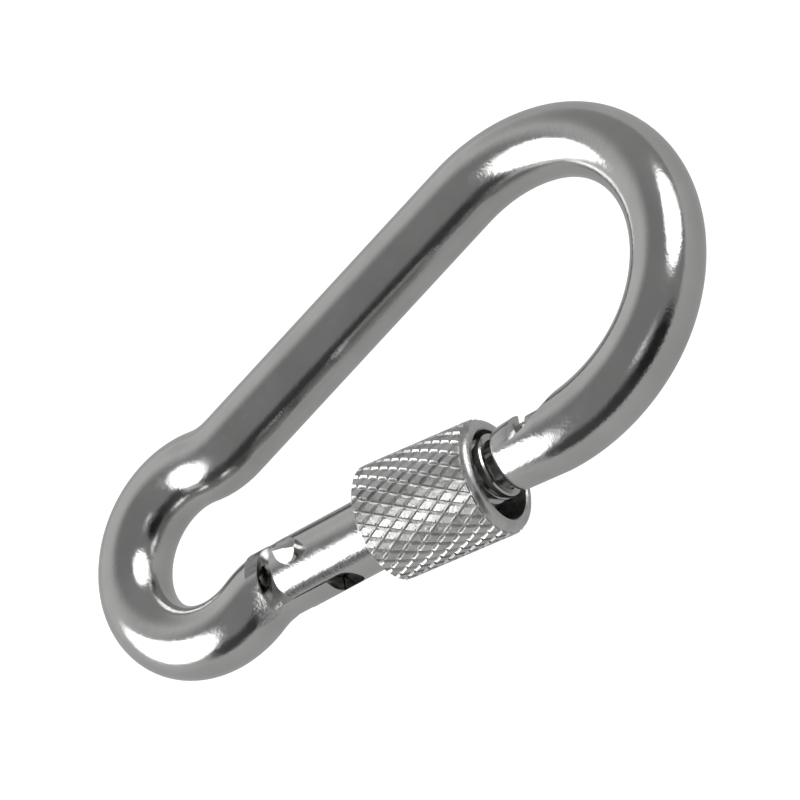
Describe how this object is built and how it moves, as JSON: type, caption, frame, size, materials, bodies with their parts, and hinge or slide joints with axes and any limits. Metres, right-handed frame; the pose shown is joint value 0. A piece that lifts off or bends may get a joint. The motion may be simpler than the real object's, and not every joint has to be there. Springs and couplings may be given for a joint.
{
  "type": "carabiner keyring",
  "caption": "Small polished stainless spring hook: pear-shaped bent bar with a narrowed key eye, a sprung hinged gate and a knurled screw nut that locks it.",
  "frame": {"origin": "centre of the small eye, in the middle plane of the bent bar", "axes": "+X along the hook from the small eye to the bow, +Y towards the closed side (the spine), +Z square to the flat of the hook; the gate is on the -Y side"},
  "size_m": [0.0608, 0.0303, 0.0101],
  "materials": {
    "polished_stainless": "tumble-polished stainless steel",
    "knurled_stainless": "knurled and polished stainless steel",
    "spring_steel": "drawn stainless spring wire",
    "turned_steel": "plain turned steel"
  },
  "bodies": {
    "hook": {"hook_body": "polished_stainless"},
    "gate": {"gate_tube": "polished_stainless", "hinge_rivet": "polished_stainless", "gate_spring": "spring_steel"},
    "plunger": {"spring_plunger": "turned_steel"},
    "nut": {"lock_nut": "knurled_stainless"}
  },
  "joints": [
    {"name": "gate_hinge", "type": "hinge", "parent": "hook", "child": "gate", "pos_m": [0.00845, -0.00695, 0], "axis": [0, 0, 1], "range_deg": [0, 28], "stiffness_Nm_per_rad": 0.1, "springref_deg": -34.38},
    {"name": "plunger_slide", "type": "slide", "parent": "gate", "child": "plunger", "axis": [0.9823, -0.1871, 0], "range_m": [0, 0.0014], "deforming": ["gate_spring"]},
    {"name": "nut_travel", "type": "slide", "parent": "gate", "child": "nut", "axis": [0.9823, -0.1871, 0], "range_m": [0, 0.003]}
  ],
  "couplings": [
    {"joint": "plunger_slide", "follows": "gate_hinge", "m_per_rad": 0.0025}
  ]
}
